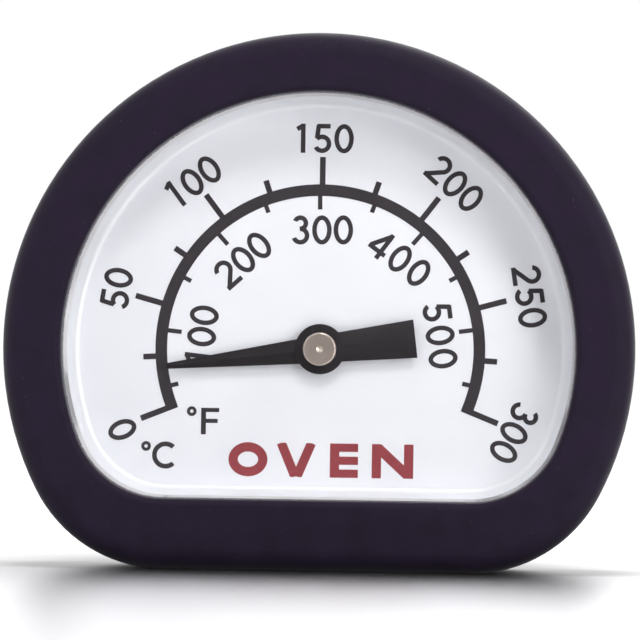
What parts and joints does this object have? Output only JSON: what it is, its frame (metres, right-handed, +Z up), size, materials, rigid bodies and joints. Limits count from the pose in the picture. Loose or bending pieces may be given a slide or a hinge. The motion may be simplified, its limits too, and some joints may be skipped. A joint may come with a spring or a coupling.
{
  "type": "oven thermometer",
  "caption": "D-shaped dial thermometer in a black silicone surround, with a short bimetal stem, threaded sleeve and wing nut for fixing through an oven lid; it also stands on its flat base.",
  "frame": {"origin": "centre of the flat base of the silicone surround, midway between its front and rear rims", "axes": "+Y along the sensor stem, away from the dial; +Z up from the base; +X to the right as the dial is read"},
  "size_m": [0.065, 0.056, 0.0553],
  "materials": {
    "black_silicone": "matt moulded silicone, very dark purplish black",
    "case_steel": "drawn stainless steel, satin",
    "bezel_steel": "polished stainless steel",
    "window_glass": "clear flat glass",
    "gasket_silicone": "off-white silicone",
    "white_enamel_spacer": "white paint",
    "white_enamel_dial": "satin white enamel",
    "black_paint": "satin black paint",
    "dial_ink": "matt black printing ink",
    "dial_ink_red": "matt dark red printing ink",
    "turned_brass": "turned",
    "nickel_plate": "satin nickel plate",
    "spindle_steel": "ground steel",
    "bimetal_strip": "rolled bimetal strip",
    "stem_steel": "drawn stainless tube",
    "zinc_plate": "bright zinc plate",
    "washer_silicone": "matt red-brown silicone",
    "washer_steel": "bright zinc plate",
    "cast_nickel": "nickel-plated casting"
  },
  "bodies": {
    "case": {"silicone_surround": "black_silicone", "rear_case": "case_steel", "bezel_ring": "bezel_steel", "glass_lens": "window_glass", "lens_gasket": "gasket_silicone", "dial_spacer": "white_enamel_spacer", "dial_plate": "white_enamel_dial", "upper_bearing": "turned_brass", "lower_bearing": "turned_brass", "bimetal_coil": "bimetal_strip", "coil_anchor": "spindle_steel", "stem_tube": "stem_steel", "stem_tip_plug": "stem_steel", "threaded_sleeve": "zinc_plate", "case_locknut": "zinc_plate"},
    "pointer_set": {"pointer": "black_paint", "pointer_hub": "turned_brass", "pointer_cap": "nickel_plate", "spindle": "spindle_steel", "spindle_collar": "turned_brass"},
    "washers": {"sealing_washer": "washer_silicone", "large_washer": "washer_steel"},
    "wing_nut": {"wing_nut": "cast_nickel"}
  },
  "joints": [
    {"name": "pointer_turn", "type": "hinge", "parent": "case", "child": "pointer_set", "pos_m": [0, -0.0032, 0.02285], "axis": [0, 1, 0], "range_deg": [-14.8, 209], "stiffness_Nm_per_rad": 0.0001},
    {"name": "washer_slide", "type": "slide", "parent": "case", "child": "washers", "axis": [0, 1, 0], "range_m": [0, 0.006]},
    {"name": "wing_nut_turn", "type": "hinge", "parent": "washers", "child": "wing_nut", "pos_m": [0, 0.0122, 0.02285], "axis": [0, 1, 0], "range_deg": [0, 2160.5]}
  ],
  "couplings": [
    {"joint": "wing_nut_turn", "follows": "washer_slide", "rad_per_m": 6283.2}
  ]
}
